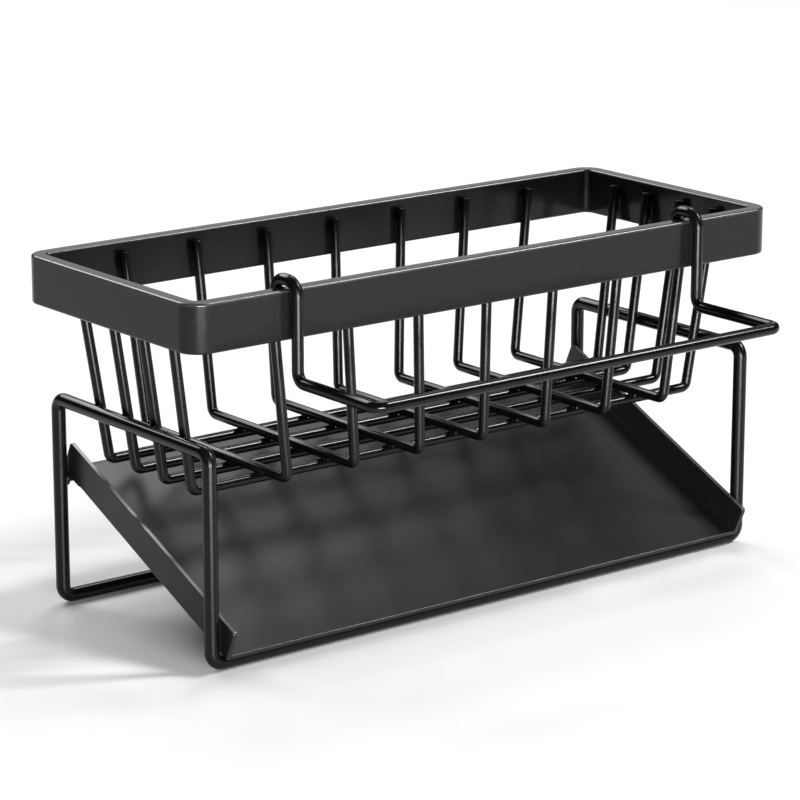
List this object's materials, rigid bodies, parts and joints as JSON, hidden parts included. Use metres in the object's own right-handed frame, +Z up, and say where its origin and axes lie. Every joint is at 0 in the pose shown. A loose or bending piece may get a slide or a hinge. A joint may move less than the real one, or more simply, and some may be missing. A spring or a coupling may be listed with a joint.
{
  "type": "sponge holder",
  "caption": "Wire sink caddy: a basket under a flat rim nests in a bent-wire stand over a sloped drain tray, with a towel rail hooked on its front.",
  "frame": {"origin": "on the counter, under the middle of the whole object's box", "axes": "+X along the length, +Y from the towel rail to the back, +Z up"},
  "size_m": [0.226, 0.1312, 0.1156],
  "materials": {
    "black_coat": "satin powder coat"
  },
  "bodies": {
    "stand": {"frame_loop": "black_coat", "tray_support_wire": "black_coat"},
    "tray": {"drain_tray": "black_coat"},
    "basket": {"rim_band": "black_coat", "cross_wire_1": "black_coat", "cross_wire_2": "black_coat", "cross_wire_3": "black_coat", "cross_wire_4": "black_coat", "cross_wire_5": "black_coat", "cross_wire_6": "black_coat", "cross_wire_7": "black_coat", "long_wire_1": "black_coat", "long_wire_2": "black_coat", "long_wire_3": "black_coat", "long_wire_4": "black_coat"},
    "rail": {"towel_rail": "black_coat"}
  },
  "joints": [
    {"name": "basket_lift", "type": "slide", "parent": "stand", "child": "basket", "axis": [0, 0, 1], "range_m": [0, 0.08]},
    {"name": "rail_lift", "type": "slide", "parent": "basket", "child": "rail", "axis": [0, 0, 1], "range_m": [0, 0.03]},
    {"name": "tray_slide", "type": "slide", "parent": "stand", "child": "tray", "axis": [0, 0.9119, 0.4104], "range_m": [0, 0.12]}
  ]
}
